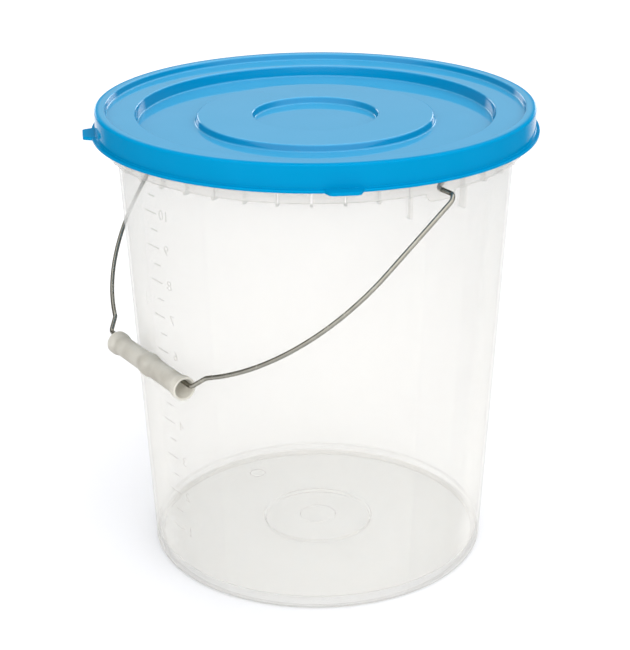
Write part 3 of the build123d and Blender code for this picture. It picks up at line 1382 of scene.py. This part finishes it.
@dataclass
class Grip:
    """The hollow sleeve that turns on the wire."""

    bail: Bail
    end_radius: float = 7.4
    band: float = 3.5
    flare: float = 5.5
    waist_radius: float = 6.3
    bulge_radius: float = 7.3
    bulge_reach: float = 7.8
    bulge_top: float = 0.3
    bulge_foot: float = 0.72
    bulge_round: float = 14.0
    flare_foot: float = 0.28
    flare_top: float = 0.7
    flare_round: float = 6.5
    wall: float = 1.4
    play: float = 0.3
    slide: float = 4.8
    end_round: float = 0.45
    steps: int = 72
    sharp: float = 40.0

    @property
    def down(self) -> float:
        """Distance of the grip's middle from the bail's axis."""
        drop = self.waist_radius - self.wall - self.bail.tub.wire / 2 - self.play
        return self.bail.run_down + drop

    def half_profile(self, inset: float) -> list[Corner]:
        """Outline from the middle to one end.

        Args:
            inset: How far the outline moves in.

        Returns:
            Its corners.
        """
        half = self.bail.grip_length / 2
        bulge, waist, end = (r - inset for r in (self.bulge_radius, self.waist_radius, self.end_radius))
        flare_start = half - self.band - self.flare
        return [
            Corner(bulge, self.bulge_top * self.bulge_reach, self.bulge_round),
            Corner(waist, self.bulge_foot * self.bulge_reach, self.bulge_round),
            Corner(waist, flare_start + self.flare_foot * self.flare, self.flare_round),
            Corner(end, flare_start + self.flare_top * self.flare, self.flare_round),
            Corner(end, half, self.end_round),
        ]

    def build(self, material: bpy.types.Material) -> bpy.types.Object:
        """Make the sleeve and hang it on the wire.

        Args:
            material: The grip's finish.

        Returns:
            The grip.
        """
        outside, bore = self.half_profile(0.0), self.half_profile(self.wall)
        flip = [[Corner(c.radius, -c.along, c.rounding) for c in side] for side in (outside, bore)]
        corners = [*reversed(flip[0]), *outside, *reversed(bore), *flip[1]]
        shape = Shape()
        shape.turn(shape.section(corners, closed=True), self.steps)
        lie = Matrix.Translation((self.slide * MM, -self.down * MM, 0)) @ Matrix.Rotation(math.pi / 2, 4, "Y")
        piece = shape.move(self.bail.rest() @ lie).piece("grip_sleeve", material, self.sharp)
        return settle(piece, Body.GRIP, "grip")


@dataclass(frozen=True)
class SkyPanel:
    """A soft round patch of the sky: angles from the camera's side, in degrees, and its light."""

    azimuth: float
    elevation: float
    reach: float
    softness: float
    light: float


@dataclass(frozen=True)
class Lamp:
    """A round lamp: place and size in metres, and power in watts."""

    name: str
    place: tuple[float, float, float]
    size: float
    power: float

    def hang(self, aim: Vector) -> None:
        """Hang the lamp in the scene.

        Args:
            aim: The point that it shines on, in metres.
        """
        light = bpy.data.lights.new(self.name, "AREA")
        light.shape = "DISK"
        light.size = self.size
        light.energy = self.power
        holder = bpy.data.objects.new(self.name, light)
        holder.location = self.place
        holder.rotation_euler = (aim - holder.location).to_track_quat("-Z", "Y").to_euler()
        bpy.context.scene.collection.objects.link(holder)


@dataclass(frozen=True)
class FarLight:
    """A broad far light that leaves no mirror image: its direction, spread in degrees, and power."""

    name: str
    way: tuple[float, float, float]
    spread: float
    power: float

    def hang(self) -> None:
        """Hang the light in the scene."""
        light = bpy.data.lights.new(self.name, "SUN")
        light.energy = self.power
        light.angle = math.radians(self.spread)
        holder = bpy.data.objects.new(self.name, light)
        holder.rotation_euler = (-Vector(self.way)).to_track_quat("-Z", "Y").to_euler()
        holder.visible_glossy = False
        bpy.context.scene.collection.objects.link(holder)


@dataclass
class Studio:
    """White floor, soft light from panels and lamps, and the camera."""

    floor_reach: float = 14.0
    camera_place: tuple[float, float, float] = (0.8360, -0.5470, 0.5554)
    camera_pitch: float = 22.214
    camera_roll: float = -0.357
    focal_pixels: float = 1649.0
    frame_pixels: float = 650.0
    sensor: float = 36.0
    aside_pixels: float = 1.62
    far_clip: float = 100.0
    lamp_aim: tuple[float, float, float] = (0.0, 0.0, 0.15)
    far_light: FarLight = FarLight("front_light", (1.45, -0.95, 1.35), 80.0, 0.95)
    wire_lamp: Lamp = Lamp("wire_key", (0.89, -0.70, 1.15), 0.8, 1.5)
    see_through_steps: int = 32
    sky: float = 0.48
    panels: tuple[SkyPanel, ...] = (
        SkyPanel(162.0, 61.0, 35.0, 11.0, 1.3),
        SkyPanel(70.0, 45.0, 32.0, 14.0, 0.5),
        SkyPanel(0.0, 10.0, 68.0, 28.0, 1.25),
        SkyPanel(115.0, 0.0, 34.0, 12.0, -0.2),
        SkyPanel(-115.0, 0.0, 36.0, 12.0, -0.2),
        SkyPanel(156.0, 7.0, 9.0, 4.0, 3.6),
        SkyPanel(-156.0, 7.0, 9.0, 4.0, 3.6),
    )

    def floor(self, material: bpy.types.Material) -> bpy.types.Object:
        """Lay the floor.

        Args:
            material: The floor's finish.

        Returns:
            The floor.
        """
        shape = Shape()
        bmesh.ops.create_grid(shape.mesh, x_segments=2, y_segments=2, size=self.floor_reach)
        piece = shape.piece("studio_floor", material)
        return piece

    def light(self) -> None:
        """Hang the lamps and set the sky."""
        self.far_light.hang()
        self.wire_lamp.hang(Vector(self.lamp_aim))
        scene = bpy.context.scene
        scene.world = self.sky_world()
        scene.view_settings.view_transform = "Standard"
        scene.cycles.transparent_max_bounces = self.see_through_steps

    def sky_world(self) -> bpy.types.World:
        """Paint the sky with its panels.

        Returns:
            The sky.
        """
        world = bpy.data.worlds.new("studio_sky")
        tree = NodeTree(world, "ShaderNodeOutputWorld")
        way = tree.add("ShaderNodeTexCoord", output="Generated")
        front = math.atan2(self.camera_place[1], self.camera_place[0])
        strength: Value | float = self.sky
        for panel in self.panels:
            azimuth, elevation = front + math.radians(panel.azimuth), math.radians(panel.elevation)
            level = math.cos(elevation)
            centre = (level * math.cos(azimuth), level * math.sin(azimuth), math.sin(elevation))
            sides = {0: way, 1: centre}
            near = tree.add("ShaderNodeVectorMath", {"operation": "DOT_PRODUCT"}, sides, "Value")
            outer = math.cos(math.radians(panel.reach + panel.softness))
            inner = math.cos(math.radians(panel.reach - panel.softness))
            strength = strength + panel.light * tree.step(near, outer, inner)
        tree.show(tree.add("ShaderNodeBackground", {}, {"Color": (1.0, 1.0, 1.0, 1.0), "Strength": strength}))
        return world

    def camera(self) -> None:
        """Set the camera at the photograph's angle."""
        lens = bpy.data.cameras.new("photo_camera")
        lens.sensor_width = self.sensor
        lens.lens = self.focal_pixels * self.sensor / self.frame_pixels
        lens.shift_x = -self.aside_pixels / self.frame_pixels
        lens.clip_end = self.far_clip
        holder = bpy.data.objects.new("photo_camera", lens)
        place = Vector(self.camera_place)
        level = Vector((-place.x, -place.y, 0.0)).normalized()
        pitch = math.radians(self.camera_pitch)
        aim = level * math.cos(pitch) - UPRIGHT * math.sin(pitch)
        turn = aim.to_track_quat("-Z", "Y").to_matrix().to_4x4()
        roll = Matrix.Rotation(math.radians(self.camera_roll), 4, "Z")
        holder.matrix_world = Matrix.Translation(place) @ turn @ roll
        bpy.context.scene.collection.objects.link(holder)
        bpy.context.scene.camera = holder


def settle(piece: bpy.types.Object, body: Body, node: str | None = None) -> bpy.types.Object:
    """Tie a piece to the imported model.

    Args:
        piece: The piece.
        body: The body it rides on.
        node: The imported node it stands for, if any.

    Returns:
        The piece.
    """
    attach(piece, body.value)
    if node:
        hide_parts(node)
    LOG.info("%s rides on %s: %d faces", piece.name, body.value, len(piece.data.polygons))
    return piece


def main() -> None:
    """Build the bucket piece by piece, then the studio around it."""
    logging.basicConfig(level=logging.INFO, format="%(message)s")
    natural = NaturalPlastic().material()
    # The scale's strokes get a tenth of the painted shade grey on every face and none on their roundings.
    relief = NaturalPlastic(name="natural_relief", plain=0.10, line=0.0, under=0.0).material()
    tub = Tub()
    lid = Lid(tub)
    bail = Bail(tub, lid)
    tub.build(natural)
    LitreScale(tub).build(relief)
    FloorMark(tub).build(natural)
    lid.build(BluePlastic().material())
    bail.build(SteelWire().material())
    Grip(bail).build(PalePlastic().material())
    studio = Studio()
    studio.floor(StudioFloor().material())
    studio.light()
    studio.camera()


if __name__ == "__main__":
    main()
